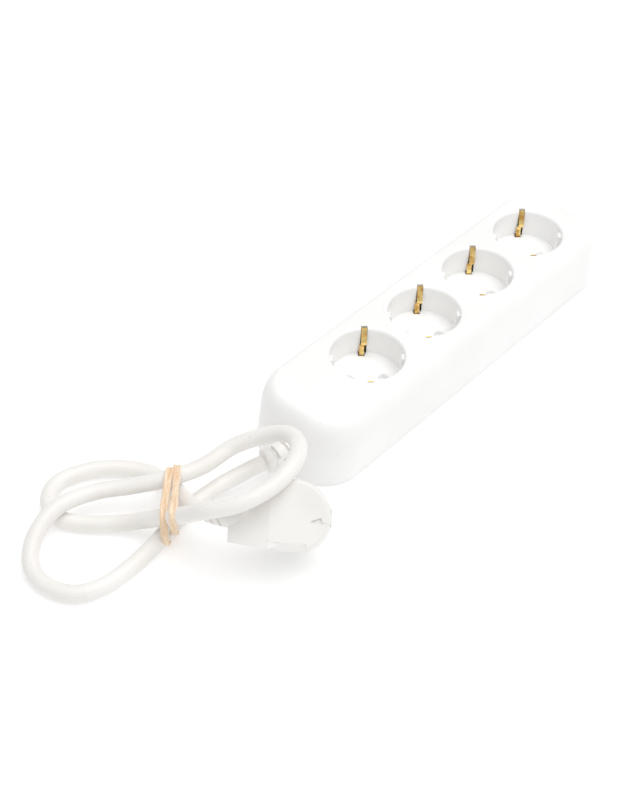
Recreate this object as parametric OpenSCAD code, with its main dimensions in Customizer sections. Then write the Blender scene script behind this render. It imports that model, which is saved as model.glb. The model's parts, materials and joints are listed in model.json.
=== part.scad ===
// Four-way socket strip with a short mains lead, an angled plug and a rubber band.
// +X runs along the strip away from the lead, +Z is up, and the origin is the
// middle of the strip's underside. Millimetres.

/* [Strip] */
// Length of the strip
strip_l = 252; // [246:1:270]
// Width of the strip
strip_w = 63; // [62:1:66]
// Height of the strip
strip_h = 39.5; // [38.5:0.5:42]
// Corner radius of the strip in plan
corner_r = 22.5; // [20:0.5:25]
// Wall thickness of the top cover
wall = 2.4; // [2:0.1:2.8]
// Height of the rounded top edge
edge_h = 14; // [10:0.5:15]
// Width of the rounded top edge
edge_w = 6.5; // [5:0.5:7]
// How much each end leans in towards the top
end_lean = 5; // [3:0.5:6]

/* [Sockets] */
// Distance between neighbouring sockets
pitch = 48; // [47:0.5:49]
// Position of the socket nearest to the lead
first_socket_x = -60.5; // [-62:0.5:-60]
// Radius of a socket well
well_r = 19.9; // [19.6:0.1:20]
// Depth of a socket well
well_depth = 17.5; // [17:0.5:18]
// Angle of the earth clips' line from the strip's length
clip_angle = 45; // [45:1:45]
// Half the distance between a plug's two pins
pin_offset = 9.5; // [9.5:0.1:9.5]
// Radius of a pin hole in the floor of a well
pin_hole_r = 2.75; // [2.6:0.05:2.9]
// Width of an earth clip
clip_w = 3.4; // [3:0.1:3.6]
// Outward flex of an earth clip, shown in degrees
clip_flex = 0; // [0:0.1:1.6]

/* [Lead] */
// Diameter of the lead
cord_d = 8.6; // [8:0.1:9]
// Height of the lead where it leaves the strip
exit_z = 15; // [15:1:15]

/* [Plug] */
// Radius of the plug's round body
plug_r = 18; // [18:0.1:19]
// Height of the part of the plug that enters a well
skirt_h = 16; // [15:0.5:17]
// Total height of the plug's body above its face
plug_h = 24.5; // [24:0.5:26]
// Length of a pin beyond the plug's face
pin_l = 19; // [19:0.5:19]
// Radius of a pin
pin_r = 2.4; // [2.4:0.05:2.4]
// Lean, tilt and heading of the plug as it lies
plug_turn = [40, -2, -52];
// Centre of the plug's face as it lies
plug_at = [-160.5, -40, 22.5];

/* [Hidden] */

// The lead's middle line, from the clamp inside the strip to inside the plug's
// handle: down to the floor, round the large loop, back through the band, up and
// over the plug, down through the band again, round the small loop and up to the plug.
cord_route = [
    [-108, 0, 15], [-130, 0, 15], [-147, 5, 13], [-163, 10, 10], [-179, 13, 6],
    [-196, 11, 6], [-218, 8, 5], [-242, 8, 5], [-257, 15, 5], [-263, 29, 5],
    [-260, 43, 6], [-248, 53, 10], [-230, 56, 14], [-211, 50, 14], [-197, 38, 16],
    [-184, 25, 21], [-167, 17, 23], [-150, 12, 28], [-139, -1, 37], [-138, -15, 46],
    [-146, -28, 53], [-159, -36, 56], [-174, -37, 54], [-190, -31, 50], [-200, -17, 42],
    [-202, 0, 27], [-204, 15, 15], [-211, 29, 7], [-222, 42, 5], [-230, 55, 5],
    [-227, 68, 5], [-216, 75, 5], [-202, 72, 5], [-189, 63, 5], [-179, 49, 5],
    [-177, 35, 7], [-182, 21, 13], [-188, 8, 20], [-192, -7, 28], [-190, -20, 35],
    [-182, -31, 36]
];

eps = 0.05;
cord_r = cord_d / 2;
socket_xs = [for (i = [0:3]) first_socket_x + i * pitch];
well_floor_z = strip_h - well_depth;
cup_floor = 3;
cup_wall = 1.7;
rim_r = 2.1;
cup_r = well_r + cup_wall;
flange_r = well_r + rim_r + 0.3;
flange_h = 2;
cover_top = 2;
base_h = 2.4;
base_gap = 0.25;
slot_w = 5.5;
slot_r = flange_r + 0.5;
foot_slot_w = 4;
foot_slot_r = 14.5;
pin_line = pin_offset * cos(clip_angle);
bar_t = 1;
bar_low = 6;
bar_high = 11;
fork_top = well_floor_z - cup_floor - 1.5;
fork_w = 7;
leaf_t = 0.8;
leaf_gap = 4.7;
earth_low = 3.2;
earth_t = 1;
clip_t = 0.6;
clip_r = 17.9;
clip_tip_r = 20.6;
clip_knee_r = 17.2;
clip_knee_z = 30.5;
clip_pivot_z = earth_low + earth_t + 1;
screw_r = 1.45;
screw_head_r = 3;
screw_head_h = 1.4;
screw_sink = 1.6;
boss_r = 3.6;
screw_spots = [
    [-104, 20], [-104, -20],
    [first_socket_x + 1.5 * pitch, 24.2], [first_socket_x + 1.5 * pitch, -24.2],
    [108, 12], [108, -12]
];
clamp_x = -113;
clamp_l = 8;
clamp_screw_y = 8;
core_r = 1.15;
core_start = cord_route[0][0] + 1;
bar_end = first_socket_x - 26;
boot_l = 17;
boot_root_r = 7.2;
boot_tip_r = 5.4;
wall_x = strip_l / 2 - end_lean * exit_z / strip_h;
band_w = 9;
band_t = 1.2;
band_clear = 0.4;
band_at = [-190, 16, 0];
band_turn = -49;
flat_low_y = 16.9;
flat_high_y = 12.6;
flat_knee_z = 9;
flat_x0 = -10.5;
flat_x1 = 7;
handle_x = -31;
handle_z = 18;
crease_x = -11;
pin_tip = 2;
pin_neck = 0.5;
pin_tail_r = 2;
relief_l = 22;
relief_root_r = 6.3;
relief_tip_r = 5.2;

// Points of a smooth curve through the route, two for each stretch.
function cr_point(a, b, c, d, t) =
    0.5 * ((2 * b) + (c - a) * t + (2 * a - 5 * b + 4 * c - d) * t * t
        + (3 * b - a - 3 * c + d) * t * t * t);
function route_at(p, i) =
    i < 0 ? 2 * p[0] - p[1] : i >= len(p) ? 2 * p[len(p) - 1] - p[len(p) - 2] : p[i];
function smooth(p, steps) = concat(
    [for (i = [0:len(p) - 2]) for (k = [0:steps - 1])
        cr_point(route_at(p, i - 1), p[i], p[i + 1], route_at(p, i + 2), k / steps)],
    [p[len(p) - 1]]);
function unit(v) = v / norm(v);
function tangent(p, i) = unit(p[min(i + 1, len(p) - 1)] - p[max(i - 1, 0)]);
function ring(p, i, r, n) =
    let (t = tangent(p, i), side = unit(cross(t, [0, 0, 1])), up = cross(side, t))
    [for (k = [0:n - 1]) p[i] + r * (cos(360 * k / n) * side + sin(360 * k / n) * up)];
// Length along a list of points up to point i.
function run_to(p, i) = i == 0 ? 0 : run_to(p, i - 1) + norm(p[i] - p[i - 1]);

// Round tube through the points p, with one radius for each point.
module tube(p, radii, n) {
    last = len(p) - 1;
    points = [for (i = [0:last]) each ring(p, i, radii[i], n)];
    sides = [for (i = [0:last - 1]) for (k = [0:n - 1])
        [i * n + k, i * n + (k + 1) % n, (i + 1) * n + (k + 1) % n, (i + 1) * n + k]];
    caps = [[for (k = [n - 1:-1:0]) k], [for (k = [0:n - 1]) last * n + k]];
    polyhedron(points, concat(sides, caps), convexity = 10);
}

// Rounded form of the strip, shrunk by inset on every side.
module strip_form(inset, low, high) {
    steps = 6;
    levels = concat([[low, 0]],
        [for (k = [0:steps]) [high - edge_h + edge_h * sin(90 * k / steps),
            edge_w * (1 - cos(90 * k / steps))]]);
    hull() for (s = levels) {
        lean = end_lean * max(s[0], 0) / strip_h;
        r = corner_r - inset - s[1];
        for (x = [-1, 1], y = [-1, 1])
            translate([x * (strip_l / 2 - inset - s[1] - lean - r),
                y * (strip_w / 2 - inset - s[1] - r), s[0] - 0.01])
                cylinder(r = r, h = 0.01, $fn = 32);
    }
}

module along_exit(x) {
    translate([x, 0, exit_z])
        rotate([0, 90, 0])
            children();
}

module top_cover() {
    color("white")
    difference() {
        union() {
            difference() {
                strip_form(0, 0.8, strip_h);
                strip_form(wall, -2, strip_h - cover_top);
            }
            intersection() {
                strip_form(1, 0, strip_h - 1);
                for (s = screw_spots)
                    translate([s[0], s[1], base_h + 0.3])
                        cylinder(r = boss_r, h = strip_h, $fn = 32);
            }
        }
        for (x = socket_xs)
            translate([x, 0, strip_h - 8])
                cylinder(r = flange_r + 0.15, h = 12, $fn = 64);
        for (s = screw_spots)
            translate([s[0], s[1], 0])
                cylinder(r = screw_r + 0.05, h = 14, $fn = 24);
        along_exit(-strip_l / 2 - 4)
            cylinder(r = boot_root_r - 0.6, h = 12, $fn = 40);
    }
}

module base_plate() {
    inset = wall + base_gap;
    r = corner_r - inset;
    clamp_h = exit_z - 2;
    color("gainsboro")
    difference() {
        union() {
            linear_extrude(base_h)
                union() {
                    square([strip_l - 2 * inset - 1, strip_w - 2 * (inset + r)], center = true);
                    square([strip_l - 2 * (inset + r) - 1, strip_w - 2 * inset], center = true);
                    for (x = [-1, 1], y = [-1, 1])
                        translate([x * (strip_l / 2 - inset - r - 0.5),
                            y * (strip_w / 2 - inset - r)])
                            circle(r = r, $fn = 64);
                }
            translate([clamp_x - clamp_l / 2 - 1, -12, base_h - eps])
                cube([clamp_l + 2, 24, clamp_h - base_h]);
            for (y = [-3, 1.6])
                translate([-96, y, base_h - eps])
                    cube([8, 1.4, 5]);
            for (i = [0:2])
                translate([socket_xs[i] + pitch / 2, 0, base_h - eps]) {
                    for (s = [-1, 1])
                        translate([-2.5, s * pin_line - 2.2, 0])
                            cube([5, 4.4, bar_low + 3 - base_h]);
                    translate([-3, -2, 0])
                        cube([6, 4, earth_low - base_h + eps]);
                }
        }
        along_exit(clamp_x - clamp_l)
            cylinder(r = cord_r + 0.15, h = 2 * clamp_l, $fn = 40);
        for (y = [-1, 1])
            translate([clamp_x, y * clamp_screw_y, base_h + 2])
                cylinder(r = 1.3, h = 12, $fn = 24);
        for (s = [-1, 1])
            translate([-strip_l / 2, s * pin_line - bar_t / 2 - 0.1, bar_low])
                cube([strip_l, bar_t + 0.2, 6]);
        for (s = screw_spots)
            translate([s[0], s[1], -eps]) {
                cylinder(r = screw_r + 0.25, h = base_h + 1, $fn = 24);
                cylinder(r = screw_head_r + 0.3, h = screw_sink + eps, $fn = 32);
            }
    }
}

// One moulded socket cup, open at the top, with its two guide ribs, two clip
// slots and two pin holes.
module socket_cup(i) {
    color("white")
    translate([socket_xs[i], 0, 0])
    difference() {
        union() {
            difference() {
                union() {
                    translate([0, 0, well_floor_z - cup_floor])
                        cylinder(r = cup_r, h = well_depth + cup_floor, $fn = 64);
                    translate([0, 0, strip_h - flange_h])
                        cylinder(r = flange_r, h = flange_h, $fn = 64);
                }
                rotate_extrude($fn = 64)
                    polygon(concat(
                        [[0, well_floor_z], [well_r, well_floor_z]],
                        [for (a = [0:22.5:90])
                            [well_r + rim_r * (1 - cos(a)), strip_h - rim_r + rim_r * sin(a)]],
                        [[well_r + rim_r, strip_h + 1], [0, strip_h + 1]]));
            }
            for (s = [-1, 1])
                rotate([0, 0, clip_angle + 90 * s])
                    translate([well_r - 2, -2.4, well_floor_z - eps])
                        cube([2.6, 4.8, well_depth - 2.6]);
        }
        for (s = [0, 180])
            rotate([0, 0, clip_angle + s])
                translate([0, 0, well_floor_z]) {
                    translate([well_r - 0.7, -slot_w / 2, -1])
                        cube([slot_r - well_r + 0.7, slot_w, well_depth + 2]);
                    translate([foot_slot_r, -foot_slot_w / 2, -cup_floor - 1])
                        cube([slot_r - foot_slot_r, foot_slot_w, cup_floor + 2]);
                }
        for (s = [-1, 1])
            rotate([0, 0, clip_angle - 90])
                translate([s * pin_offset, 0, well_floor_z - cup_floor - 1])
                    cylinder(r = pin_hole_r, h = cup_floor + 2, $fn = 32);
    }
}

// A brass bar along the strip with a sprung fork under each pin hole on its side.
module busbar(side) {
    color("goldenrod")
    union() {
        translate([socket_xs[0] - side * pin_line - 26, side * pin_line - bar_t / 2, bar_low])
            cube([3 * pitch + 36, bar_t, bar_high - bar_low]);
        for (x = socket_xs)
            translate([x - side * pin_line, side * pin_line, 0])
                for (s = [-1, 1]) {
                    translate([-fork_w / 2, s > 0 ? leaf_gap / 2 : -leaf_gap / 2 - leaf_t, bar_low])
                        cube([fork_w, leaf_t, fork_top - bar_low]);
                    translate([-fork_w / 2, s > 0 ? 0 : -leaf_gap / 2 - eps, bar_low])
                        cube([fork_w, leaf_gap / 2 + eps, leaf_t]);
                }
    }
}

module earth_bar() {
    color("goldenrod")
    translate([0, 0, earth_low])
        linear_extrude(earth_t)
            difference() {
                union() {
                    translate([first_socket_x - 26, -2.6])
                        square([3 * pitch + 46, 5.2]);
                    for (x = socket_xs)
                        translate([x, 0])
                            rotate(clip_angle)
                                square([2 * clip_r + 7, clip_w + 1.5], center = true);
                }
                translate([first_socket_x - 22, 0])
                    circle(r = 1.2, $fn = 24);
            }
}

// A sprung earth clip, drawn for a socket at the origin with the clip on +X: it
// rises from the earth bar, has a knee that presses on a plug, and leans out at the top.
module clip_strip() {
    line = [
        [clip_r, clip_pivot_z - 0.7], [clip_r, well_floor_z], [clip_r + 0.5, clip_knee_z - 2.6],
        [clip_knee_r, clip_knee_z - 0.6], [clip_knee_r, clip_knee_z + 0.6],
        [clip_tip_r, strip_h - 0.2]
    ];
    rotate([90, 0, 0])
        linear_extrude(clip_w, center = true)
            polygon(concat(line,
                [for (i = [len(line) - 1:-1:0]) [line[i][0] + clip_t, line[i][1]]]));
}

module earth_clip(i, turn) {
    color("gold")
    translate([socket_xs[i], 0, 0])
        rotate([0, 0, clip_angle + turn])
            translate([clip_r, 0, clip_pivot_z])
                rotate([0, clip_flex, 0])
                    translate([-clip_r, 0, -clip_pivot_z])
                        clip_strip();
}

module screw(length) {
    cylinder(r = screw_r, h = length, $fn = 24);
    difference() {
        translate([0, 0, -screw_head_h])
            cylinder(r = screw_head_r, h = screw_head_h, $fn = 32);
        for (a = [0, 90])
            rotate([0, 0, a])
                translate([-1.8, -0.4, -screw_head_h - eps])
                    cube([3.6, 0.8, 0.8]);
    }
}

module housing_screws() {
    color("silver")
    for (s = screw_spots)
        translate([s[0], s[1], screw_sink])
            screw(11);
}

module cord_clamp() {
    color("white")
    difference() {
        translate([clamp_x - clamp_l / 2, -12, exit_z - 1.2])
            cube([clamp_l, 24, 8]);
        along_exit(clamp_x - clamp_l)
            cylinder(r = cord_r + 0.1, h = 2 * clamp_l, $fn = 40);
        for (y = [-1, 1])
            translate([clamp_x, y * clamp_screw_y, 0])
                cylinder(r = 1.7, h = 30, $fn = 24);
    }
}

module clamp_screws() {
    color("silver")
    for (y = [-1, 1])
        translate([clamp_x, y * clamp_screw_y, exit_z + 6.8])
            mirror([0, 0, 1]) {
                cylinder(r = 1.25, h = 16, $fn = 24);
                translate([0, 0, -1.8])
                    cylinder(r = 2.6, h = 1.8, $fn = 32);
            }
}

// An insulated core that follows the points p.
module core_wire(p) {
    q = smooth(p, 3);
    tube(q, [for (i = q) core_r], 10);
}

module live_wire() {
    color("saddlebrown")
    core_wire([[core_start, 2.2, exit_z + 1], [-102, 6, exit_z + 1], [-97, 9.6, 12],
        [bar_end - pin_line + 1, 8.5, 8.5]]);
}

module neutral_wire() {
    color("royalblue")
    core_wire([[core_start, -2.2, exit_z + 1], [-102, -5, exit_z + 1], [-94, -8.8, 12],
        [bar_end + pin_line - 8, -9.6, 8.5], [bar_end + pin_line + 1, -8.5, 8.5]]);
}

module earth_wire() {
    color("yellowgreen")
    core_wire([[core_start, 0, exit_z - 2.2], [-103, 0, 11], [-98, 0, 6.6],
        [bar_end + 3, 0, earth_low + earth_t + core_r + 0.1]]);
}

// The strip's strain relief: a flange inside the wall, a neck through it, and a
// tapered boot that follows the lead.
module strip_strain_relief() {
    p = [for (q = smooth([for (i = [0:3]) cord_route[i]], 8)) if (q[0] < -wall_x - 1) q];
    q = [for (i = [0:len(p) - 1]) if (run_to(p, i) < boot_l) p[i]];
    long = run_to(q, len(q) - 1);
    color("white") {
        tube(q, [for (i = [0:len(q) - 1])
            boot_root_r + 0.4 - (boot_root_r - boot_tip_r) * run_to(q, i) / long], 16);
        along_exit(-wall_x - 0.5)
            cylinder(r = boot_root_r - 0.7, h = 5.4, $fn = 40);
        along_exit(-wall_x + 3.4)
            cylinder(r = boot_root_r + 1.4, h = 1.8, $fn = 40);
    }
}

module mains_cord() {
    p = smooth(cord_route, 2);
    color("whitesmoke")
    tube(p, [for (i = p) cord_r], 10);
}

// Where the route crosses the band's plane, as [across, up].
function off_plane(q) = (q[0] - band_at[0]) * cos(band_turn) + (q[1] - band_at[1]) * sin(band_turn);
function in_plane(q) = [-(q[0] - band_at[0]) * sin(band_turn) + (q[1] - band_at[1]) * cos(band_turn), q[2]];
function band_hits(p) = [for (i = [0:len(p) - 2])
    let (a = off_plane(p[i]), b = off_plane(p[i + 1]))
    if (a * b <= 0 && a != b && norm(p[i] - band_at) < 45)
        in_plane(p[i] + (p[i + 1] - p[i]) * a / (a - b))];

// One closed loop of flat rubber round the lead's strands.
module rubber_band() {
    hits = band_hits(smooth(cord_route, 4));
    inner = cord_r + band_clear;
    color("burlywood")
    translate(band_at)
        rotate([90, 0, band_turn + 90])
            linear_extrude(band_w, center = true)
                difference() {
                    hull() for (h = hits) translate([h[0], h[1]]) circle(r = inner + band_t, $fn = 24);
                    hull() for (h = hits) translate([h[0], h[1]]) circle(r = inner, $fn = 24);
                }
}

module as_plug_lies() {
    translate(plug_at)
        rotate(plug_turn)
            children();
}

// Round body with its guide flats, and the handle that leads to the lead.
module plug_form() {
    union() {
        difference() {
            union() {
                cylinder(r = plug_r, h = plug_h - 3, $fn = 64);
                translate([0, 0, plug_h - 3 - eps])
                    cylinder(r1 = plug_r, r2 = plug_r - 3, h = 3 + eps, $fn = 64);
            }
            for (s = [-1, 1])
                scale([1, s, 1])
                    translate([flat_x0, 0, -eps])
                        rotate([90, 0, 90])
                            linear_extrude(flat_x1 - flat_x0)
                                polygon(s < 0
                                    ? [[flat_low_y, -1], [flat_low_y, flat_knee_z],
                                        [flat_high_y, plug_h + 1], [30, plug_h + 1], [30, -1]]
                                    : [[flat_low_y, -1], [flat_low_y, skirt_h + 1.5],
                                        [30, skirt_h + 1.5], [30, -1]]);
            translate([-plug_r - 1, -20, skirt_h - 1])
                cube([plug_r + 1 + crease_x, 40, 20]);
        }
        handle();
    }
}

module handle() {
    hull()
        for (y = [-1, 1]) {
            translate([handle_x + 1.5, y < 0 ? -12.3 : 6.5, skirt_h - 1.5])
                cylinder(r = 1.5, h = 8, $fn = 24);
            translate([crease_x - 0.5, y < 0 ? -14.6 : 12.6, skirt_h - 1.5])
                cylinder(r = 1.5, h = plug_h - skirt_h + 0.8, $fn = 24);
            translate([crease_x + 4, y * 11, skirt_h - 1.5])
                cylinder(r = 1.5, h = plug_h - skirt_h + 0.8, $fn = 24);
        }
}

module plug_housing() {
    color("whitesmoke")
    as_plug_lies()
        difference() {
            plug_form();
            translate([0, 0, -eps])
                cylinder(r = 15.6, h = 8, $fn = 64);
            translate([0, 0, 7])
                cylinder(r = 14, h = 6, $fn = 48);
            for (s = [-1, 1])
                translate([s * (plug_r - 0.6) - 0.7, -4.1, -eps])
                    cube([1.4, 8.2, s > 0 ? 14.1 : 13.1]);
            translate([handle_x - 2, 0, handle_z])
                rotate([0, 90, 0]) {
                    cylinder(r = relief_root_r + 0.3, h = 11, $fn = 40);
                    cylinder(r = cord_r + 0.8, h = 14.5, $fn = 40);
                }
            translate([handle_x + 12, -4, 11])
                cube([11, 8, 11]);
            translate([11.4, -2.1, plug_h - 1.6])
                rotate(20)
                    translate([-2.5, -1.1, 0])
                        cube([5, 2.2, 4]);
        }
}

// Hard carrier that holds the pins and the earth sleeve.
module plug_insert() {
    color("lightgrey")
    as_plug_lies()
        difference() {
            cylinder(r = 15.5, h = 7.8, $fn = 64);
            for (s = [-1, 1])
                translate([0, s * pin_offset, -eps])
                    cylinder(r = pin_tail_r + 0.05, h = 9, $fn = 32);
            translate([10, 0, -eps])
                cylinder(r = 3.55, h = 9, $fn = 32);
        }
}

module plug_pin(s) {
    color("silver")
    as_plug_lies()
        translate([0, s * pin_offset, -pin_l]) {
            cylinder(r1 = 1.2, r2 = pin_r, h = pin_tip, $fn = 32);
            translate([0, 0, pin_tip])
                cylinder(r = pin_r, h = pin_l - pin_tip - pin_neck, $fn = 32);
            cylinder(r = pin_tail_r, h = pin_l + 10, $fn = 32);
        }
}

module plug_earth_strip(s) {
    color("silver")
    as_plug_lies()
        translate([s * (plug_r - 0.6) - 0.45, -4, 0])
            cube([0.9, 8, s > 0 ? 14 : 13]);
}

module plug_earth_sleeve() {
    color("silver")
    as_plug_lies()
        translate([10, 0, 0])
            difference() {
                cylinder(r = 3.5, h = 12, $fn = 32);
                translate([0, 0, -eps])
                    cylinder(r = 2.5, h = 11, $fn = 32);
            }
}

// Tapered boot on the lead where it enters the plug's handle.
module plug_strain_relief() {
    n = len(cord_route);
    all_points = smooth([for (i = [n - 1:-1:n - 5]) cord_route[i]], 8);
    p = [for (i = [0:len(all_points) - 1])
        if (run_to(all_points, i) > 2 && run_to(all_points, i) < relief_l + 2) all_points[i]];
    long = run_to(p, len(p) - 1);
    color("whitesmoke")
    tube(p, [for (i = [0:len(p) - 1])
        relief_root_r - (relief_root_r - relief_tip_r) * run_to(p, i) / long], 16);
}

top_cover();
base_plate();
socket_cup(0);  // socket_cup_1
socket_cup(1);  // socket_cup_2
socket_cup(2);  // socket_cup_3
socket_cup(3);  // socket_cup_4
busbar(1);  // live_busbar
busbar(-1);  // neutral_busbar
earth_bar();
earth_clip(0, 0);  // earth_clip_1_far
earth_clip(1, 0);  // earth_clip_2_far
earth_clip(2, 0);  // earth_clip_3_far
earth_clip(3, 0);  // earth_clip_4_far
earth_clip(0, 180);  // earth_clip_1_near
earth_clip(1, 180);  // earth_clip_2_near
earth_clip(2, 180);  // earth_clip_3_near
earth_clip(3, 180);  // earth_clip_4_near
housing_screws();
cord_clamp();
clamp_screws();
live_wire();
neutral_wire();
earth_wire();
strip_strain_relief();
mains_cord();
rubber_band();
plug_housing();
plug_insert();
plug_pin(-1);  // plug_live_pin
plug_pin(1);  // plug_neutral_pin
plug_earth_strip(1);  // plug_earth_strip_far
plug_earth_strip(-1);  // plug_earth_strip_near
plug_earth_sleeve();
plug_strain_relief();
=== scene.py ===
"""A white four-way socket strip, its short looped lead with a rubber band, and an angled plug.

Every length below is in millimetres and is turned into metres where a mesh is made.
+X runs along the strip away from its lead, +Z is up, the origin is under its middle.
"""
import json
import math
from itertools import product

import bmesh
import bpy
from mathutils import Matrix, Vector, geometry, noise


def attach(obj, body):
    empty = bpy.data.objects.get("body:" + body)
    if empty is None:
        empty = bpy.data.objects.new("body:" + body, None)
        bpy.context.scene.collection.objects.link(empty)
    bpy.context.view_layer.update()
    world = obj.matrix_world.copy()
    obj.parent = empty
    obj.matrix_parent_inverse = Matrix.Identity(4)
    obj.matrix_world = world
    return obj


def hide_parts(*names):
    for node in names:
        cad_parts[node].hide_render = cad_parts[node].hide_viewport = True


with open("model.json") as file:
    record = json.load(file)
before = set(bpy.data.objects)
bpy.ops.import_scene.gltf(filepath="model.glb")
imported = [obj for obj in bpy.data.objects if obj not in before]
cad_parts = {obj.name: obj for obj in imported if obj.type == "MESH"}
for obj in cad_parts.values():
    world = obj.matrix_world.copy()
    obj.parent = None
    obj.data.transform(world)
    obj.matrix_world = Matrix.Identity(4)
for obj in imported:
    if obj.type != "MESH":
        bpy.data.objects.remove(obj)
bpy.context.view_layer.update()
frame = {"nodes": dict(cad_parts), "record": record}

MM = 0.001

# ---------------------------------------------------------------- sizes shared with the part
STRIP_LENGTH, STRIP_WIDTH, STRIP_HEIGHT = 252.0, 63.0, 39.5
CORNER_RADIUS = 22.5
EDGE_WIDTH, EDGE_HEIGHT = 6.5, 14.0
END_LEAN = 5.0
WALL = 2.4
SOCKET_X = [-60.5, -12.5, 35.5, 83.5]
WELL_RADIUS, WELL_FLOOR = 19.9, 22.0
RIM_RADIUS = 2.1
CORD_DIAMETER = 8.6
CORD_RADIUS = CORD_DIAMETER / 2
PLUG_AT, PLUG_TURN = (-160.5, -40.0, 22.5), (40.0, -2.0, -52.0)
CORD_EXIT_HEIGHT = 15.0

# angles in degrees: edges sharper than these stay crisp on a piece
SHARP, CREASE = 35.0, 6.0

CORD_ROUTE = [
    (-108, 0, 15), (-130, 0, 15), (-147, 5, 13), (-163, 10, 10), (-179, 13, 6),
    (-196, 11, 6), (-218, 8, 5), (-242, 8, 5), (-257, 15, 5), (-263, 29, 5),
    (-260, 43, 6), (-248, 53, 10), (-230, 56, 14), (-211, 50, 14), (-197, 38, 16),
    (-184, 25, 21), (-167, 17, 23), (-150, 12, 28), (-139, -1, 37), (-138, -15, 46),
    (-146, -28, 53), (-159, -36, 56), (-174, -37, 54), (-190, -31, 50), (-200, -17, 42),
    (-202, 0, 27), (-204, 15, 15), (-211, 29, 7), (-222, 42, 5), (-230, 55, 5),
    (-227, 68, 5), (-216, 75, 5), (-202, 72, 5), (-189, 63, 5), (-179, 49, 5),
    (-177, 35, 7), (-182, 21, 13), (-188, 8, 20), (-192, -7, 28), (-190, -20, 35),
    (-182, -31, 36),
]


# ---------------------------------------------------------------- lines and curves
def smooth_line(points, steps):
    """Points on a smooth curve through the given ones, steps for each stretch."""
    points = [Vector(p) for p in points]
    padded = [2 * points[0] - points[1], *points, 2 * points[-1] - points[-2]]
    line = []
    for a, b, c, d in zip(padded, padded[1:], padded[2:], padded[3:]):
        for k in range(steps):
            t = k / steps
            line.append(
                0.5 * (2 * b + (c - a) * t + (2 * a - 5 * b + 4 * c - d) * t * t
                       + (3 * b - a - 3 * c + d) * t ** 3)
            )
    line.append(points[-1])
    return line


def lengths_along(line):
    """The distance from the line's start to each of its points."""
    run = [0.0]
    for a, b in zip(line, line[1:]):
        run.append(run[-1] + (b - a).length)
    return run


def directions(line):
    """The way that the line runs at each of its points."""
    last = len(line) - 1
    return [(line[min(i + 1, last)] - line[max(i - 1, 0)]).normalized() for i in range(last + 1)]


ROUTE_STEPS, SHEATH_STEPS = 12, 8
CORD_LINE = smooth_line(CORD_ROUTE, ROUTE_STEPS)
CORD_LENGTH = lengths_along(CORD_LINE)[-1]


# ---------------------------------------------------------------- camera
VIEW_ANGLES = (-49.55, 44.19, 2.02)
VIEW_TARGET, VIEW_DISTANCE = Vector((-77.12, 25.31, 0)), 834.2
LENS, FILM_HEIGHT = 68.41, 36


def add_camera():
    """A camera at the viewing angle: turned round the strip, raised, slightly rolled."""
    azimuth, elevation, roll = (math.radians(a) for a in VIEW_ANGLES)
    back = Vector((
        math.sin(azimuth) * math.cos(elevation),
        -math.cos(azimuth) * math.cos(elevation),
        math.sin(elevation),
    ))
    level = Vector((math.cos(azimuth), math.sin(azimuth), 0))
    upright = back.cross(level)
    right = math.cos(roll) * level + math.sin(roll) * upright
    up = math.cos(roll) * upright - math.sin(roll) * level
    camera = bpy.data.objects.new("camera", bpy.data.cameras.new("camera"))
    camera.data.lens = LENS
    camera.data.sensor_fit, camera.data.sensor_height = "VERTICAL", FILM_HEIGHT
    camera.data.clip_start, camera.data.clip_end = 0.01, 50
    turn = Matrix((right, up, back)).transposed()
    place = (VIEW_TARGET + VIEW_DISTANCE * back) * MM
    camera.matrix_world = Matrix.Translation(place) @ turn.to_4x4()
    bpy.context.scene.collection.objects.link(camera)
    bpy.context.scene.camera = camera


add_camera()


# ---------------------------------------------------------------- finishes
class Link:
    """A node's output; sums and products of links add the Math nodes for them."""

    def __init__(self, finish, socket):
        self.finish, self.socket = finish, socket

    def maths(self, operation, *values):
        return self.finish.node("ShaderNodeMath", {"operation": operation}, values)

    def __add__(self, other):
        return self.maths("ADD", self, other)

    __radd__ = __add__

    def __sub__(self, other):
        return self.maths("SUBTRACT", self, other)

    def __rsub__(self, other):
        return self.maths("SUBTRACT", other, self)

    def __mul__(self, other):
        return self.maths("MULTIPLY", self, other)

    __rmul__ = __mul__


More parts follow.
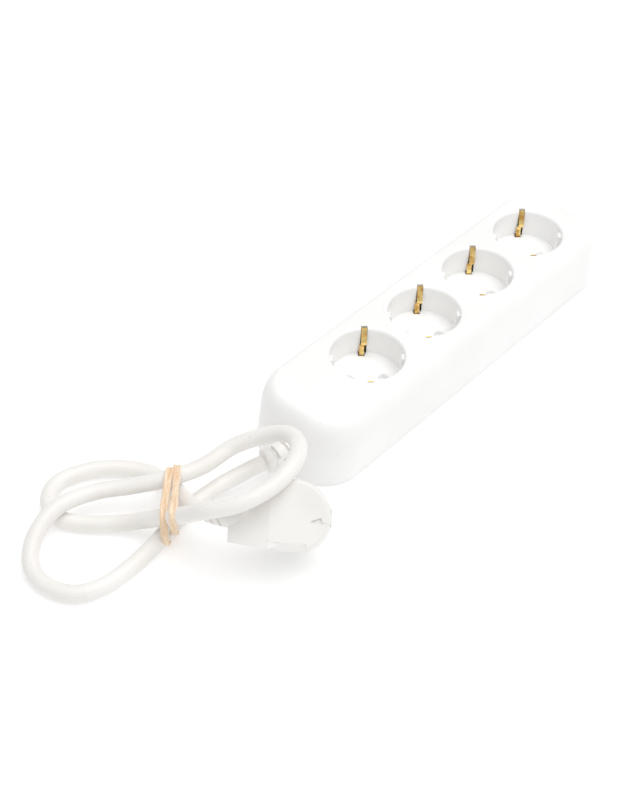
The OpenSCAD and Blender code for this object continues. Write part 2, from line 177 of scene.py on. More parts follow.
class Finish:
    """A material and the one way of adding nodes to it."""

    def __init__(self, name, **constants):
        self.material = bpy.data.materials.new(name)
        self.material.use_nodes = True
        self.tree = self.material.node_tree
        self.shader = self.tree.nodes["Principled BSDF"]
        self.set(**constants)

    def set(self, **values):
        """Sets or links the shader's own sockets, such as base_color or roughness."""
        for name, value in values.items():
            self.fill(self.shader.inputs[SOCKETS[name]], value)

    def fill(self, socket, value):
        """Links a link to the socket, or sets the socket to a plain value."""
        if isinstance(value, Link):
            self.tree.links.new(value.socket, socket)
        else:
            socket.default_value = value

    def node(self, kind, settings=None, inputs=(), output=0):
        """A node of this kind: its settings first, then the values or links of its sockets."""
        made = self.tree.nodes.new(kind)
        for key, value in (settings or {}).items():
            setattr(made, key, value)
        pairs = inputs.items() if isinstance(inputs, dict) else enumerate(inputs)
        for key, value in pairs:
            self.fill(made.inputs[key], value)
        return Link(self, made.outputs[output])

    def place(self):
        """The point on the piece, in metres."""
        return self.node("ShaderNodeTexCoord", output=3)

    def along(self):
        """The distance along the piece and the way round it."""
        return self.node("ShaderNodeTexCoord", output=2)

    def stretched(self, source, scale):
        """The source multiplied by a scale for each direction."""
        return self.node("ShaderNodeMapping", inputs={"Vector": source, "Scale": scale})

    def grain(self, source, scale, detail=3.0, roughness=0.5):
        """Soft noise; a larger scale is a finer grain."""
        return self.node(
            "ShaderNodeTexNoise",
            inputs={"Vector": source, "Scale": scale, "Detail": detail, "Roughness": roughness},
        )

    def band(self, value, low, high, to_low=0.0, to_high=1.0):
        """Value between low and high, spread smoothly from to_low to to_high."""
        return self.node(
            "ShaderNodeMapRange",
            {"interpolation_type": "SMOOTHSTEP"},
            {"Value": value, "From Min": low, "From Max": high,
             "To Min": to_low, "To Max": to_high},
        )

    def mix(self, share, first, second):
        """The first colour where the share is 0, the second where it is 1."""
        return self.node(
            "ShaderNodeMix", {"data_type": "RGBA"},
            {"Factor": share, 6: padded(first), 7: padded(second)}, output=2,
        )

    def bump(self, height, distance):
        """A surface raised by the height; the distance is in metres."""
        return self.node(
            "ShaderNodeBump",
            inputs={"Height": height, "Distance": distance, "Strength": 1.0},
        )


SOCKETS = {
    "base_color": "Base Color", "roughness": "Roughness", "metallic": "Metallic",
    "ior": "IOR", "coat": "Coat Weight", "coat_roughness": "Coat Roughness",
    "normal": "Normal", "glow_colour": "Emission Color", "glow": "Emission Strength",
}


def padded(colour):
    """A colour with its alpha; a link stays as it is."""
    return (*colour, 1) if isinstance(colour, tuple) else colour


def dimmed(colour, share):
    return tuple(share * c for c in colour)


def moulded_plastic(name, light, dark, gloss, texture_mm=0.5, scuffs=0.0):
    """White moulded plastic: faint clouds of tone, a fine matt texture, a few scuffs."""
    f = Finish(name, ior=1.5)
    at = f.place()
    clouds = f.grain(at, 22, 4)
    fine = f.grain(at, 1 / (texture_mm * MM), 2, 0.6)
    specks = f.band(f.grain(at, 420, 3, 0.6), 0.68, 0.74)
    scratches = f.band(f.grain(f.stretched(at, (160, 900, 900)), 1, 4, 0.7), 0.66, 0.72)
    dirt = specks * 0.35 + scratches * scuffs
    tone = f.mix(f.band(clouds, 0.35, 0.65), dark, light)
    f.set(
        base_color=f.mix(dirt, tone, dimmed(dark, 0.72)),
        roughness=gloss + fine * 0.1 + dirt * 0.2 - 0.05,
        normal=f.bump(fine + clouds * 0.6 - scratches * 0.5, 0.00004),
    )
    return f.material


def drawn_sheath(name, light, dark):
    """Soft extruded sheath: long faint streaks along the lead and small scuffs."""
    f = Finish(name, ior=1.5)
    at = f.place()
    streaks = f.grain(f.stretched(f.along(), (14, 60, 1)), 1, 4, 0.6)
    clouds = f.grain(at, 38, 3)
    fine = f.grain(at, 1600, 2, 0.6)
    marks = f.band(f.grain(at, 300, 3, 0.65), 0.66, 0.74)
    tone = f.mix(f.band(streaks * 0.5 + clouds * 0.5, 0.38, 0.62), dark, light)
    f.set(
        base_color=f.mix(marks * 0.35, tone, dimmed(dark, 0.7)),
        roughness=0.36 + fine * 0.12 + marks * 0.15,
        normal=f.bump(streaks * 0.7 + fine * 0.35 + clouds, 0.00006),
    )
    return f.material


def sprung_brass(name):
    """Bright rolled brass with fine lengthwise lines and brown tarnish in patches."""
    f = Finish(name, metallic=1.0)
    at = f.place()
    lines = f.grain(f.stretched(at, (3000, 3000, 120)), 1, 3, 0.6)
    patches = f.band(f.grain(at, 240, 4, 0.6), 0.42, 0.68)
    colour = f.mix(patches, (0.98, 0.74, 0.30), (0.62, 0.36, 0.10))
    f.set(
        base_color=colour,
        roughness=0.22 + patches * 0.22 + lines * 0.1,
        normal=f.bump(lines, 0.00002),
    )
    return f.material


def plated_metal(name, colour, dull):
    """Plain metal for the inner pieces: fine grain and patches of a duller tone."""
    f = Finish(name, metallic=1.0)
    at = f.place()
    lines = f.grain(f.stretched(at, (900, 900, 900)), 1, 4, 0.6)
    patches = f.band(f.grain(at, 120, 3), 0.4, 0.7)
    f.set(
        base_color=f.mix(patches, colour, dimmed(colour, 0.8)),
        roughness=dull + lines * 0.15 + patches * 0.1,
        normal=f.bump(lines, 0.00002),
    )
    return f.material


def soft_rubber(name):
    """Tan natural rubber: lengthwise wrinkles with painted shading in their hollows, and darker
    where it is dusty.
    """
    f = Finish(name, ior=1.5)
    at = f.place()
    wrinkles = f.grain(f.stretched(f.along(), (7, 15, 1)), 1, 4, 0.55)
    dust = f.grain(at, 700, 3, 0.6)
    # painted shading and real dust: the colour turns to the darker tan in the wrinkles' hollows,
    # where the bump is low, and in fine dust
    wrinkle_shade_and_dust = f.band(wrinkles * 0.7 + dust * 0.3, 0.36, 0.62)
    f.set(
        base_color=f.mix(wrinkle_shade_and_dust, (0.80, 0.54, 0.33), (0.93, 0.79, 0.61)),
        roughness=0.55 + dust * 0.2,
        normal=f.bump(wrinkles + dust * 0.3, 0.00012),
    )
    return f.material


def core_insulation(name, colour, stripe=None):
    """Thin insulation of one colour, or striped with a second one."""
    f = Finish(name, ior=1.5)
    at = f.place()
    fine = f.grain(at, 900, 3)
    tone = f.mix(f.band(fine, 0.35, 0.65), dimmed(colour, 0.85), colour)
    if stripe:
        wave = f.node("ShaderNodeTexWave", {"bands_direction": "DIAGONAL"},
                      {"Vector": at, "Scale": 90.0, "Distortion": 0.0})
        tone = f.mix(f.band(wave, 0.45, 0.55), tone, stripe)
    f.set(base_color=tone, roughness=0.4 + fine * 0.1, normal=f.bump(fine, 0.00003))
    return f.material


FINISHES = {
    "cover_plastic": moulded_plastic(
        "cover_plastic", (0.925, 0.925, 0.918), (0.90, 0.897, 0.885), 0.36, scuffs=0.25),
    "socket_plastic": moulded_plastic(
        "socket_plastic", (0.965, 0.965, 0.96), (0.95, 0.948, 0.94), 0.26),
    "cord_pvc": drawn_sheath("cord_pvc", (0.90, 0.885, 0.86), (0.855, 0.83, 0.795)),
    "plug_pvc": moulded_plastic(
        "plug_pvc", (0.875, 0.86, 0.835), (0.83, 0.81, 0.78), 0.38, scuffs=0.15),
    "insert_plastic": moulded_plastic(
        "insert_plastic", (0.78, 0.78, 0.76), (0.72, 0.72, 0.70), 0.45),
    "clip_brass": sprung_brass("clip_brass"),
    "brass": plated_metal("brass", (0.80, 0.58, 0.28), 0.3),
    "nickel": plated_metal("nickel", (0.80, 0.79, 0.76), 0.18),
    "zinc_steel": plated_metal("zinc_steel", (0.70, 0.71, 0.73), 0.3),
    "band_rubber": soft_rubber("band_rubber"),
    "brown_pvc": core_insulation("brown_pvc", (0.22, 0.10, 0.04)),
    "blue_pvc": core_insulation("blue_pvc", (0.05, 0.18, 0.55)),
    "green_pvc": core_insulation("green_pvc", (0.12, 0.42, 0.08), (0.85, 0.75, 0.1)),
}


# ---------------------------------------------------------------- mesh helpers
UV_LENGTH = 100.0


def in_scene(name, data):
    """An object with this mesh, camera or light, linked to the scene."""
    made = bpy.data.objects.new(name, data)
    bpy.context.scene.collection.objects.link(made)
    return made


def make_piece(name, mesh, finish, replaced, body="housing"):
    """A piece of the object: its mesh, finish, the nodes it stands for, its body."""
    piece = in_scene(name, mesh)
    mesh.materials.clear()
    mesh.materials.append(FINISHES[finish])
    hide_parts(*replaced)
    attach(piece, body)
    return piece


def mesh_from(name, points, faces, sharp_angle=SHARP):
    """A smooth mesh from points in millimetres."""
    mesh = bpy.data.meshes.new(name)
    mesh.from_pydata([Vector(p) * MM for p in points], [], faces)
    mesh.validate()
    smooth(mesh, sharp_angle)
    return mesh


def smooth(mesh, sharp_angle):
    """Shades the mesh smoothly except across edges sharper than the angle."""
    mesh.polygons.foreach_set("use_smooth", [True] * len(mesh.polygons))
    mesh.set_sharp_from_angle(angle=math.radians(sharp_angle))
    mesh.update()


def mesh_along(name, points, faces, uvs, sharp_angle):
    """A mesh from points in millimetres that keeps where each corner is along the piece."""
    mesh = bpy.data.meshes.new(name)
    mesh.from_pydata([p * MM for p in points], [], faces)
    layer = mesh.uv_layers.new(name="along")
    layer.data.foreach_set("uv", [v for face in uvs for uv in face for v in uv])
    smooth(mesh, sharp_angle)
    return mesh


def tube_mesh(name, line, radius_at, sides):
    """A closed tube along the line; radius_at(distance, angle) gives its radius."""
    run = lengths_along(line)
    points, faces, uvs = [], [], []
    side = None
    for p, t, s in zip(line, directions(line), run):
        side = t.cross(Vector((0, 0, 1))).normalized() if side is None else side
        side = (side - side.dot(t) * t).normalized()
        up = side.cross(t)
        for k in range(sides):
            a = 2 * math.pi * k / sides
            points.append(p + radius_at(s, a) * (math.cos(a) * side + math.sin(a) * up))
    for i in range(len(line) - 1):
        here, there = i * sides, (i + 1) * sides
        start, end = run[i] / UV_LENGTH, run[i + 1] / UV_LENGTH
        for k in range(sides):
            n = (k + 1) % sides
            faces.append((here + k, here + n, there + n, there + k))
            low, high = k / sides, (k + 1) / sides
            uvs.append([(start, low), (start, high), (end, high), (end, low)])
    last = (len(line) - 1) * sides
    for cap in (range(sides - 1, -1, -1), range(last, last + sides)):
        faces.append(tuple(cap))
        uvs.append([(0, 0)] * sides)
    return mesh_along(name, points, faces, uvs, 40)


# ---------------------------------------------------------------- the lead
def add_cord():
    """The sheath, a round tube along the whole route."""
    line = smooth_line(CORD_ROUTE, SHEATH_STEPS)
    mesh = tube_mesh("mains_cord", line, lambda s, a: CORD_RADIUS, 24)
    return make_piece("mains_cord_sheath", mesh, "cord_pvc", ["mains_cord"])


cord = add_cord()


def revolved(name, profile, steps):
    """A closed body turned about Z; its (radius, height) points start and end on the axis."""
    ring, points, faces = [], [], []
    turn = [2 * math.pi * k / steps for k in range(steps)]
    for r, z in profile:
        if r < 1e-6:
            ring.append([len(points)])
            points.append((0, 0, z))
        else:
            ring.append(list(range(len(points), len(points) + steps)))
            points += [(r * math.cos(a), r * math.sin(a), z) for a in turn]
    for lower, upper in zip(ring, ring[1:]):
        for k in range(steps):
            n = (k + 1) % steps
            if len(lower) == 1:
                faces.append((lower[0], upper[n], upper[k]))
            elif len(upper) == 1:
                faces.append((lower[k], lower[n], upper[0]))
            else:
                faces.append((lower[k], lower[n], upper[n], upper[k]))
    return mesh_from(name, points, faces)


def arc(centre, radius, start, end, steps):
    """(x, y) points on an arc, angles in degrees."""
    turn = [math.radians(start + (end - start) * k / steps) for k in range(steps + 1)]
    return [(centre[0] + radius * math.cos(a), centre[1] + radius * math.sin(a)) for a in turn]


def hull_mesh(name, points):
    """The convex body round the points."""
    bm = bmesh.new()
    for p in points:
        bm.verts.new(Vector(p) * MM)
    found = bmesh.ops.convex_hull(bm, input=bm.verts)
    bmesh.ops.delete(bm, geom=found["geom_interior"], context="VERTS")
    mesh = bpy.data.meshes.new(name)
    bm.to_mesh(mesh)
    bm.free()
    return mesh


def block(low, high):
    """A box between two corners, for cutting and joining."""
    return hull_mesh("block", product(*zip(low, high)))


def drum(radius, low, high, steps=48):
    """A cylinder about Z, for cutting and joining."""
    return revolved("drum", [(0, low), (radius, low), (radius, high), (0, high)], steps)


def shaped(mesh, *moves):
    """The mesh moved by each matrix in turn."""
    for move in moves:
        mesh.transform(move)
    return mesh


def shift(x, y, z):
    """A move in millimetres."""
    return Matrix.Translation(Vector((x, y, z)) * MM)


def spin(degrees, axis="Z"):
    """A turn about an axis through the origin."""
    return Matrix.Rotation(math.radians(degrees), 4, axis)


def settled(body, name, helpers, sharp_angle):
    """The body's mesh with its modifiers applied; the body and its helpers are removed."""
    graph = bpy.context.evaluated_depsgraph_get()
    done = bpy.data.meshes.new_from_object(body.evaluated_get(graph))
    done.name = name
    for o in (body, *helpers):
        bpy.data.objects.remove(o)
    smooth(done, sharp_angle)
    return done


def carved(mesh, steps, sharp_angle):
    """The mesh after cutting away or adding each (operation, tool mesh) in turn."""
    body = in_scene("carving", mesh)
    tools = []
    for operation, tool_mesh in steps:
        tools.append(in_scene("tool", tool_mesh))
        step = body.modifiers.new("step", "BOOLEAN")
        step.operation, step.object, step.solver = operation, tools[-1], "EXACT"
    return settled(body, mesh.name, tools, sharp_angle)


def bevelled(mesh, width, segments):
    """The mesh with its sharp edges eased by a small round, as a moulding has them."""
    mesh.polygons.foreach_set("use_smooth", [True] * len(mesh.polygons))
    body = in_scene("easing", mesh)
    ease = body.modifiers.new("ease", "BEVEL")
    ease.width, ease.segments = width * MM, segments
    ease.limit_method, ease.angle_limit = "ANGLE", math.radians(32)
    return settled(body, mesh.name, (), CREASE)


# ---------------------------------------------------------------- the strip's cover
CORNER_STEPS, EDGE_STEPS = 18, 14
TOP_WALL = 2.0
RIM_GAP = 0.12
HOLE_RADIUS = WELL_RADIUS + RIM_RADIUS + RIM_GAP
HOLE_STEPS = 96
# (height, inset) of the cover's foot, which is rounded under
FOOT = [(0.8, 0.9), (1.1, 0.45), (1.8, 0.2), (6.0, 0.0), (15.0, 0.0)]


def cover_ring(z, inset):
    """One level of the cover's form, anticlockwise from the +X, -Y corner."""
    radius = CORNER_RADIUS - inset
    lean = END_LEAN * z / STRIP_HEIGHT
    x, y = STRIP_LENGTH / 2 - inset - lean - radius, STRIP_WIDTH / 2 - inset - radius
    ring = []
    for corner, (sx, sy) in enumerate(((1, -1), (1, 1), (-1, 1), (-1, -1))):
        start = 90 * corner - 90
        ring += [
            (px, py, z)
            for px, py in arc((sx * x, sy * y), radius, start, start + 90, CORNER_STEPS)
        ]
    return ring


def edge_levels(inset, top):
    """(height, inset) levels of the rounded top edge."""
    levels = []
    for k in range(EDGE_STEPS + 1):
        a = math.radians(90 * k / EDGE_STEPS)
        drop, depth = EDGE_HEIGHT * (1 - math.sin(a)), EDGE_WIDTH * (1 - math.cos(a))
        levels.append((top - drop, inset + depth))
    return levels


def holed_face(outline, holes, z, up):
    """Triangles that fill the outline but not its round holes, at one height."""
    loops = [[p[:2] for p in outline], *holes]
    flat, edges = [], []
    for loop in loops:
        first = len(flat)
        flat += [Vector(p) for p in loop]
        edges += [(first + k, first + (k + 1) % len(loop)) for k in range(len(loop))]
    verts, _, triangles, _, _, _ = geometry.delaunay_2d_cdt(flat, edges, [], 1, 1e-6)
    kept = []
    for t in triangles:
        centre = sum((verts[k] for k in t), Vector((0, 0))) / 3
        if all(math.hypot(centre.x - x, centre.y) > HOLE_RADIUS - 0.01 for x in SOCKET_X):
            kept.append(tuple(t) if up else tuple(reversed(t)))
    return [(v.x, v.y, z) for v in verts], kept


def add_cover():
    """The white cover: a hollow shell with a broad rounded top edge and four round openings."""
    inner_top = STRIP_HEIGHT - TOP_WALL
    outside = FOOT + edge_levels(0, STRIP_HEIGHT)
    inside = [(FOOT[0][0], WALL), (FOOT[-1][0], WALL), *edge_levels(WALL, inner_top)][::-1]
    holes = [arc((x, 0), HOLE_RADIUS, 0, 360, HOLE_STEPS)[:-1] for x in SOCKET_X]
    bm = bmesh.new()

    def add(points, faces):
        made = [bm.verts.new(Vector(p) * MM) for p in points]
        for f in faces:
            bm.faces.new([made[k] for k in f])

    def walls(levels):
        rings = [cover_ring(z, inset) for z, inset in levels]
        n = len(rings[0])
        add([p for ring in rings for p in ring], [
            (i * n + k, i * n + (k + 1) % n, (i + 1) * n + (k + 1) % n, (i + 1) * n + k)
            for i in range(len(rings) - 1) for k in range(n)
        ])
        return rings

    outer = walls([inside[-1], *outside])
    inner = walls(inside)
    add(*holed_face(outer[-1], holes, STRIP_HEIGHT, True))
    add(*holed_face(inner[0], holes, inner_top, False))
    for hole in holes:
        n = len(hole)
        add([(x, y, z) for z in (STRIP_HEIGHT, inner_top) for x, y in hole],
            [(k, k + n, (k + 1) % n + n, (k + 1) % n) for k in range(n)])
    bmesh.ops.remove_doubles(bm, verts=bm.verts, dist=0.002 * MM)
    bmesh.ops.recalc_face_normals(bm, faces=bm.faces)
    mesh = bpy.data.meshes.new("cover")
    bm.to_mesh(mesh)
    bm.free()
    exit_hole = shaped(
        drum(6.6, -8, 8), spin(90, "Y"), shift(-STRIP_LENGTH / 2, 0, CORD_EXIT_HEIGHT))
    mesh = carved(mesh, [("DIFFERENCE", exit_hole)], 30)
    return make_piece("cover_shell", mesh, "cover_plastic", ["top_cover"])


add_cover()


# ---------------------------------------------------------------- the sockets
CLIP_ANGLE = 45.0
PIN_ANGLE = CLIP_ANGLE + 90
PIN_OFFSET, PIN_HOLE_RADIUS, PIN_COUNTERSINK = 9.5, 2.7, 3.3
SHUTTER_RADIUS = 3.6
CUP_RADIUS, CUP_BOTTOM = 21.6, WELL_FLOOR - 3
FILLET = 0.8


def cup_profile():
    """(radius, height) points round a cup's section, from under its floor to the floor."""
    top, hidden = STRIP_HEIGHT, HOLE_RADIUS - 0.04
    rim = arc((WELL_RADIUS + RIM_RADIUS, top - RIM_RADIUS), RIM_RADIUS, 180, 90, 10)
    return [
        (0, CUP_BOTTOM), (CUP_RADIUS, CUP_BOTTOM), (CUP_RADIUS, top - TOP_WALL),
        (hidden, top - TOP_WALL), (hidden, top), *reversed(rim),
        *arc((WELL_RADIUS - FILLET, WELL_FLOOR + FILLET), FILLET, 0, -90, 4),
        (9, WELL_FLOOR), (0, WELL_FLOOR),
    ]


def guide_rib():
    """A rib on the wall of a well, narrower at its crest and sloped at its top."""
    top, foot = STRIP_HEIGHT, WELL_FLOOR - 0.5
    section = (
        (17.7, foot, 1.9), (17.7, top - 4.2, 1.9), (18.4, top - 3.0, 1.9),
        (20.4, top - 2.4, 2.3), (20.4, foot, 2.6),
    )
    return hull_mesh("rib", [(x, side * y, z) for side in (-1, 1) for x, z, y in section])


def pin_hole():
    """A hole with a countersunk mouth."""
    mouth = WELL_FLOOR + 0.1
    return revolved("pin_hole", [
        (0, WELL_FLOOR - 4), (PIN_HOLE_RADIUS, WELL_FLOOR - 4),
        (PIN_HOLE_RADIUS, WELL_FLOOR - 0.7), (PIN_COUNTERSINK, mouth), (0, mouth),
    ], 40)


def cup_mesh():
    """A cup: a well with a flared rim, slots for two clips, two ribs, two shuttered pin holes."""
    steps = []
    for turn in (0, 180):
        clip_side, pin_side = spin(CLIP_ANGLE + turn), spin(PIN_ANGLE + turn)
        out = shift(PIN_OFFSET, 0, 0)
        wall_slot = block((19.2, -1.8, WELL_FLOOR - 1), (22.8, 1.8, STRIP_HEIGHT + 1))
        foot_slot = block((17.2, -0.8, WELL_FLOOR - 4), (22.8, 2.8, WELL_FLOOR + 1))
        shutter = drum(SHUTTER_RADIUS, CUP_BOTTOM - 0.7, CUP_BOTTOM + 0.05, 32)
        steps += [
            ("DIFFERENCE", shaped(wall_slot, clip_side)),
            ("DIFFERENCE", shaped(foot_slot, clip_side)),
            ("UNION", shaped(guide_rib(), pin_side)),
            ("DIFFERENCE", shaped(pin_hole(), out, pin_side)),
            ("UNION", shaped(shutter, out, pin_side)),
        ]
    return carved(revolved("socket_cup", cup_profile(), 144), steps, 32)


def add_cups():
    mesh = cup_mesh()
    for number, x in enumerate(SOCKET_X, 1):
        moved = shaped(mesh.copy(), shift(x, 0, 0))
        make_piece(f"socket_well_{number}", moved, "socket_plastic",
                   [f"socket_cup_{number}"])


add_cups()


# ---------------------------------------------------------------- the earth clips
CLIP_LINE = [
    (17.9, 4.6), (17.9, 14.0), (17.8, 20.4), (17.65, 22.6), (17.95, 24.6), (18.4, 26.2),
    (18.3, 27.8), (17.8, 29.2), (17.2, 30.2), (17.35, 31.6), (18.2, 33.2), (18.7, 34.6),
    (19.3, 36.4), (20.2, 38.0), (20.5, 39.2),
]
CLIP_THICKNESS, CLIP_CHAMFER = 0.6, 0.12
HEAD_START, HEAD_BLEND = 28.4, 0.8


def clip_mesh():
    """A bent brass strip on the +X side of a socket. Its upper part is a little wider."""
    line = smooth_line([(x, 0, z) for x, z in CLIP_LINE], 6)
    points, faces = [], []
    edge, inner, outer = CLIP_CHAMFER, 0, CLIP_THICKNESS
    for p, t in zip(line, directions(line)):
        out = Vector((t.z, 0, -t.x))
        share = min(max((p.z - HEAD_START) / HEAD_BLEND, 0), 1)
        low, high = -0.35 - 1.2 * share, 2.35 - 0.8 * share
        for y, depth in (
            (low, edge), (low + edge, inner), (high - edge, inner), (high, edge),
            (high, outer - edge), (high - edge, outer), (low + edge, outer), (low, outer - edge),
        ):
            points.append(p + depth * out + Vector((0, y, 0)))
    for i in range(len(line) - 1):
        here, there = i * 8, (i + 1) * 8
        faces += [(here + k, here + (k + 1) % 8, there + (k + 1) % 8, there + k)
                  for k in range(8)]
    last = (len(line) - 1) * 8
    faces += [tuple(range(7, -1, -1)), tuple(last + k for k in range(8))]
    return mesh_from("clip", points, faces, 28)


def add_clips():
    mesh = clip_mesh()
    for number, x in enumerate(SOCKET_X, 1):
        for side, turn in (("far", 0), ("near", 180)):
            node = f"earth_clip_{number}_{side}"
            moved = shaped(mesh.copy(), spin(CLIP_ANGLE + turn), shift(x, 0, 0))
            make_piece(f"sprung_clip_{number}_{side}", moved, "clip_brass",
                       [node], node)


add_clips()


# ---------------------------------------------------------------- the strain reliefs
# (distance, radius) along each boot
STRIP_BOOT = [(0, 6.5), (5.6, 6.5), (5.9, 6.9), (15.4, 6.65), (15.8, 6.2), (16.3, 6.2),
              (16.7, 6.9), (19.2, 6.75), (19.8, 6.2), (20.1, 5.2), (20.2, 4.4)]
PLUG_BOOT = [(0, 4.4), (0.5, 5.0), (1.6, 5.4), (9, 6.6), (13.5, 7.2), (22, 3.0)]
STRIP_BOOT_START, STRIP_BOOT_END = 10.4, 30.6
PLUG_BOOT_LENGTH, PLUG_BOOT_FROM_END = 22.0, 2.0
BOOT_SPACING = 0.3


def slit_pairs(places, width, depth, half):
    """Opposite grooves part of the way round, for each (distance, middle angle) place."""
    return [(at, width, depth, middle + turn, half) for at, middle in places for turn in (0, 180)]


def relief_mesh(name, line, radii, slits):
    """A moulded boot along the line with its grooves."""
    def radius_at(s, a):
        for (s0, r0), (s1, r1) in zip(radii, radii[1:]):
            if s <= s1:
                r = r0 + (r1 - r0) * max(s - s0, 0) / (s1 - s0)
                break
        else:
            r = radii[-1][1]
        for at, width, depth, middle, half in slits:
            turn = abs((math.degrees(a) - middle + 180) % 360 - 180)
            if abs(s - at) < width / 2 and turn < half:
                r -= depth
        return r

    return tube_mesh(name, line, radius_at, 64)


def stretch(line, start, end, spacing):
    """Evenly spaced points on the line between two distances along it."""
    run = lengths_along(line)
    points, i = [], 0
    count = max(2, round((end - start) / spacing))
    for k in range(count + 1):
        s = start + (end - start) * k / count
        while i < len(run) - 2 and run[i + 1] < s:
            i += 1
        points.append(line[i].lerp(line[i + 1], (s - run[i]) / (run[i + 1] - run[i])))
    return points


def add_strip_relief():
    """The boot at the strip: a straight sleeve with short slits, a waist, and its end collar."""
    line = stretch(CORD_LINE, STRIP_BOOT_START, STRIP_BOOT_END, BOOT_SPACING)
    slits = slit_pairs([(8.6, 105), (11.5, 15), (14.2, 105)], 1.15, 1.6, 36)
    mesh = relief_mesh("strip_relief", line, STRIP_BOOT, slits)
    make_piece("strip_relief_boot", mesh, "plug_pvc", ["strip_strain_relief"])


def add_plug_relief():
    """The ribbed boot that runs into the plug's handle."""
    end = CORD_LENGTH - PLUG_BOOT_FROM_END
    line = stretch(CORD_LINE, end - PLUG_BOOT_LENGTH, end, BOOT_SPACING)
    ribs = [(2.6 + 1.9 * k, 90 * (k % 2)) for k in range(6)]
    mesh = relief_mesh("plug_relief", line, PLUG_BOOT, slit_pairs(ribs, 0.8, 0.9, 50))
    make_piece("plug_relief_boot", mesh, "plug_pvc", ["plug_strain_relief"])


add_strip_relief()
add_plug_relief()


# ---------------------------------------------------------------- the rubber band
BAND_AT, BAND_TURN = Vector((-190, 16, 0)), -49.0
BAND_REACH = 45.0
TURN_OFFSET = 2.5
TURN_STEPS, BAND_SIDES, LOOP_STEPS = 170, 20, 720
BAND_THICKNESS, BAND_WIDTH = 1.15, 4.0
LEAST_HEIGHT = 0.15


def band_loop(offset):
    """The loop round the four strands in the plane at this offset, from its highest point."""
    turn = math.radians(BAND_TURN)
    normal = Vector((math.cos(turn), math.sin(turn), 0))
    across = Vector((-math.sin(turn), math.cos(turn), 0))
    ovals = []
    for edge in (-1.2, 0, 1.2):
        for a, b in zip(CORD_LINE, CORD_LINE[1:]):
            da, db = ((p - BAND_AT).dot(normal) - offset - edge for p in (a, b))
            if da * db <= 0 and da != db and (a - BAND_AT).length < BAND_REACH:
                hit = a + (b - a) * da / (da - db) - BAND_AT
                run = (b - a).normalized()
                slope = Vector((run.dot(across), run.z))
                ovals.append((Vector((hit.dot(across), hit.z)), slope.normalized(),
                              1 / max(abs(run.dot(normal)), 0.78)))
    reach = CORD_RADIUS + 0.55
    loop = []
    for k in range(LOOP_STEPS):
        angle = 2 * math.pi * (k + 0.5) / LOOP_STEPS
        outward = Vector((math.cos(angle), math.sin(angle)))
        far_side = []
        for centre, slope, length in ovals:
            step = outward + (length * length - 1) * outward.dot(slope) * slope
            far_side.append(centre + reach * step / math.sqrt(step.dot(outward)))
        loop.append(max(far_side, key=lambda p: p.dot(outward)))
    top = max(range(len(loop)), key=lambda k: loop[k].y - 0.5 * loop[k].x)
    ring = [Vector((p.x, p.y, 0)) for p in (*loop[top:], *loop[:top + 1])]
    length = lengths_along(ring)[-1]
    even = stretch(ring, 0, length, length / TURN_STEPS)
    return [Vector((p.x, p.y)) for p in even[:TURN_STEPS]], across, normal


def eased(value, power):
    """The value, from -1 to 1, pushed towards its ends by a power below 1."""
    return math.copysign(abs(value) ** power, value)


def bell(value, width):
    return math.exp(-(value / width) ** 2)


def add_band():
    """One loop of flat rubber wound twice, each turn folded lengthwise."""
    near, across, normal = band_loop(TURN_OFFSET)
    far = band_loop(-TURN_OFFSET)[0]
    sides, total = BAND_SIDES, 2 * TURN_STEPS
    points, faces, uvs = [], [], []
    for j in range(total):
        share, k = j / TURN_STEPS, j % TURN_STEPS
        lean_to = 0.5 + 0.5 * math.cos(math.pi * share)
        here, ahead, behind = (
            far[m].lerp(near[m], lean_to) for m in (k, (k + 1) % TURN_STEPS, k - 1))
        along = (ahead - behind).normalized()
        outward = Vector((along.y, -along.x))
        wobble = noise.noise(Vector((share * 7, 3.1, 0)))
        lift = 1.25 * bell(share % 1 - 0.5, 0.07) if share < 1 else 0.0
        offset = 2.55 * math.cos(math.pi * share) + 0.35 * wobble
        width = BAND_WIDTH + 0.9 * noise.noise(Vector((share * 9, 0, 5.5)))
        groove = 0.45 + 0.4 * noise.noise(Vector((share * 11, 7.7, 0)))
        lean = 0.28 * noise.noise(Vector((share * 8, 1.2, 9)))
        centre = here + (lift + 0.05) * outward
        for i in range(sides):
            a = 2 * math.pi * i / sides
            w = eased(math.cos(a), 0.6) * width / 2
            fold = 1 - groove * (bell(w, 0.45) + 0.3 * bell(abs(w) - 1.3, 0.3))
            d = eased(math.sin(a), 0.8) * BAND_THICKNESS / 2 * fold
            w, d = (w * math.cos(lean) - d * math.sin(lean),
                    w * math.sin(lean) * 0.5 + d)
            flat = centre + d * outward
            p = BAND_AT + flat.x * across + (offset + w) * normal
            points.append(Vector((p.x, p.y, max(flat.y + p.z, LEAST_HEIGHT))))
    for j in range(total):
        here, there = j * sides, (j + 1) % total * sides
        start, end = 0.006 * j, 0.006 * (j + 1)
        for i in range(sides):
            h = (i + 1) % sides
            faces.append((here + i, there + i, there + h, here + h))
            low, high = i / sides, (i + 1) / sides
            uvs.append([(start, low), (end, low), (end, high), (start, high)])
    mesh = mesh_along("rubber_band", points, faces, uvs, 50)
    bm = bmesh.new()
    bm.from_mesh(mesh)
    bmesh.ops.recalc_face_normals(bm, faces=bm.faces)
    bm.to_mesh(mesh)
    bm.free()
    smooth(mesh, 50)
    return make_piece("tan_rubber_band", mesh, "band_rubber", ["rubber_band"])


band = add_band()


# ---------------------------------------------------------------- the plug
PLUG_TOP, PLUG_RADIUS = 24.5, 17.9
PLUG_EDGE, PLUG_EASE = 1.8, 0.4
SKIRT_RADIUS, SKIRT_DEPTH = 15.6, 7.9
BORE_RADIUS, BORE_DEPTH = 14.0, 13.0
FLAT_FROM, FLAT_TO = -10.6, 7.0
CREASE_X = -11.02
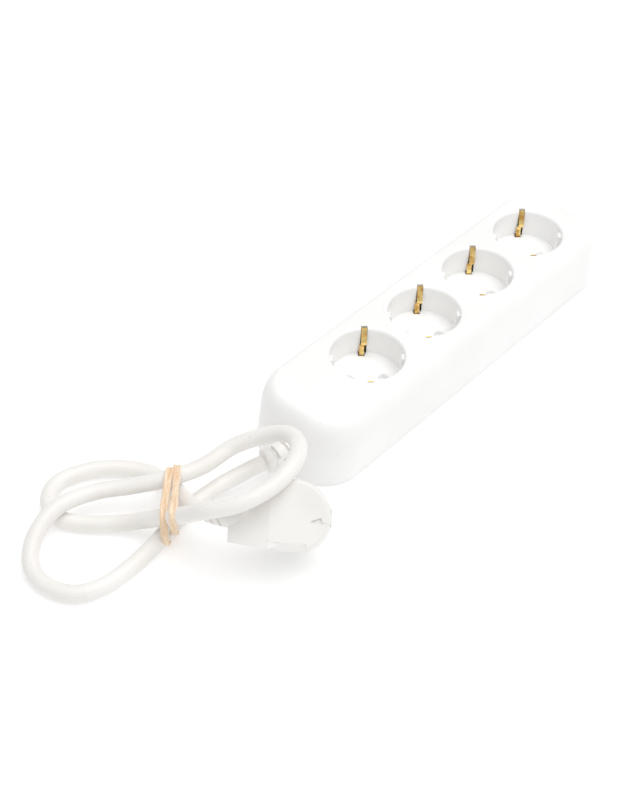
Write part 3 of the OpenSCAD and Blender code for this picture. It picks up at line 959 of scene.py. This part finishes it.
# (x, lower y, higher y, top) along the handle, from its end to inside the body
HANDLE = [(-31.0, -13.6, 7.6, 20.2), (-11.0, -16.2, 13.8, 24.5), (-4.0, -12.0, 12.0, 23.8)]
HANDLE_BOTTOM = 14.2


def plug_place():
    x, y, z = PLUG_TURN
    return shift(*PLUG_AT) @ spin(z, "Z") @ spin(y, "Y") @ spin(x, "X")


def handle_mesh():
    """The grip that slopes from the plug's body down to the lead."""
    return hull_mesh("handle", [
        (x, y, z) for x, low_y, high_y, top in HANDLE
        for y in (low_y, high_y) for z in (HANDLE_BOTTOM, top)
    ])


def plug_profile():
    """(radius, height) points of the round body, whose back is up and has a rounded edge."""
    edge = arc((PLUG_RADIUS - 2.1, PLUG_TOP - PLUG_EDGE), PLUG_EDGE, 8, 90, 18)
    return [(0, 0), (17.3, 0), (17.8, 0.5), (PLUG_RADIUS, 12.0), (17.6, 22.5), *edge,
            (0, PLUG_TOP)]


def side_flats():
    """What is cut from the sides: one flat that leans in above a knee, and one straight one."""
    flats = []
    for side, outline in (
        (-1, ((16.9, -2), (16.9, 9), (30, 9), (30, -2))),
        (-1, ((16.9, 8.9), (12.7, 24.6), (12.3, 26), (30, 26), (30, 8.9))),
        (1, ((16.9, -2), (16.9, 17.5), (30, 17.5), (30, -2))),
    ):
        corners = [(x, side * y, z) for x in (FLAT_FROM, FLAT_TO) for y, z in outline]
        flats.append(hull_mesh("notch", corners))
    return flats


def add_plug():
    """The moulded plug body: a flat round back, a grip, recessed sides and a small slot."""
    steps = [("DIFFERENCE", block((-22, -22, 15.0), (CREASE_X, 22, 30)))]
    steps += [("DIFFERENCE", flat) for flat in side_flats()]
    steps += [
        ("UNION", handle_mesh()),
        ("DIFFERENCE", drum(SKIRT_RADIUS, -3, SKIRT_DEPTH, 96)),
        ("DIFFERENCE", drum(BORE_RADIUS, 7, BORE_DEPTH, 96)),
    ]
    for x in (-17.4, 17.4):
        strip_slot = block((x - 0.7, -4.15, -3), (x + 0.9, 4.15, 13.6))
        steps.append(("DIFFERENCE", strip_slot))
    slot = shaped(block((-2.5, -1.05, 23.5), (2.5, 1.05, 27)), spin(20), shift(11.4, -2.1, 0))
    seam = block((13.4, -3.0, 24.1), (19, -2.75, 27))
    body = carved(revolved("plug_body", plug_profile(), 128), steps, SHARP)
    mesh = carved(bevelled(body, PLUG_EASE, 3), [("DIFFERENCE", slot), ("DIFFERENCE", seam)],
                  CREASE)
    mesh = shaped(mesh, plug_place())
    return make_piece("plug_body", mesh, "plug_pvc", ["plug_housing"])


plug_body = add_plug()


# ---------------------------------------------------------------- carried-over nodes
def dress(node, finish):
    """Gives a node that keeps its own shape its finish."""
    mesh = frame["nodes"][node].data
    mesh.materials.clear()
    mesh.materials.append(FINISHES[finish])
    smooth(mesh, 30)


SLOT_FINISH = {"cord_pvc": "plug_pvc"}
for part in frame["record"]["subparts"]:
    dress(part["node"], SLOT_FINISH.get(part["material_slot"], part["material_slot"]))


# ---------------------------------------------------------------- floor, light, sky
FLOOR_REACH, FLOOR_GREY, FLOOR_GLOW = 6.0, 0.75, 0.33
SKY_STRENGTH = 0.60
KEY_PLACE, KEY_TARGET = Vector((0.05, -0.3, 1.5)), Vector((-0.05, 0, 0))
KEY_SIZE, KEY_POWER = 1.6, 16.5


def add_surroundings():
    """A pale floor, an even white sky and one large soft light overhead, in metres."""
    r = FLOOR_REACH
    mesh = bpy.data.meshes.new("floor")
    mesh.from_pydata([(-r, -r, 0), (r, -r, 0), (r, r, 0), (-r, r, 0)], [], [(0, 1, 2, 3)])
    finish = Finish(
        "pale_floor", base_color=(FLOOR_GREY, FLOOR_GREY, FLOOR_GREY, 1), roughness=0.9,
        glow_colour=(1, 1, 1, 1), glow=FLOOR_GLOW)
    mesh.materials.append(finish.material)
    in_scene("floor", mesh)
    world = bpy.data.worlds.new("studio")
    bpy.context.scene.world = world
    world.use_nodes = True
    sky = world.node_tree.nodes["Background"].inputs
    sky["Color"].default_value, sky["Strength"].default_value = (1, 1, 1, 1), SKY_STRENGTH
    light = bpy.data.lights.new("key", "AREA")
    light.size, light.energy = KEY_SIZE, KEY_POWER
    lamp = in_scene("key", light)
    lamp.location = KEY_PLACE
    lamp.rotation_euler = (KEY_TARGET - KEY_PLACE).to_track_quat("-Z", "Y").to_euler()


add_surroundings()
bpy.context.scene.view_settings.view_transform = "Standard"

[p * MM for p in CORD_LINE]
